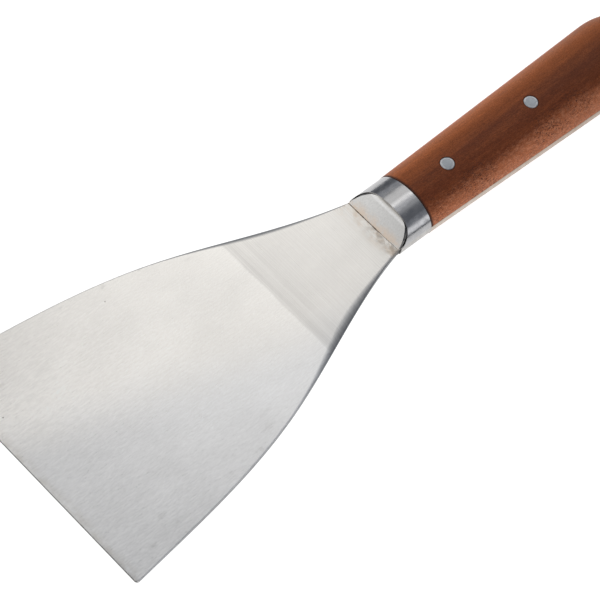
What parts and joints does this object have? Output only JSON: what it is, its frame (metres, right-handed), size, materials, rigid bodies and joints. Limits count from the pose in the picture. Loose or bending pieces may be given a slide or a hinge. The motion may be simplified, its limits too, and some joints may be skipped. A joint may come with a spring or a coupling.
{
  "type": "flexible putty knife",
  "caption": "Flexible putty knife with a wide taper-ground steel blade, a polished two-part bolster and an oval wooden handle riveted to a full tang.",
  "frame": {"origin": "middle of the knife's length, on the middle plane of the tang", "axes": "+X along the knife towards the working edge, +Y across the blade, +Z out of the blade's upper face"},
  "size_m": [0.228, 0.075, 0.017],
  "materials": {
    "blade_steel": "satin ground, with brush lines along the blade and across its heel",
    "bolster_steel": "polished collar with a satin ground ramp",
    "handle_wood": "red-brown hardwood, smoothed and lightly oiled",
    "rivet_metal": "satin, dressed flush with the wood"
  },
  "bodies": {
    "root": {"blade_with_tang": "blade_steel", "upper_bolster": "bolster_steel", "lower_bolster": "bolster_steel", "upper_scale": "handle_wood", "lower_scale": "handle_wood", "rivet_1": "rivet_metal", "rivet_2": "rivet_metal", "rivet_3": "rivet_metal"}
  },
  "joints": []
}
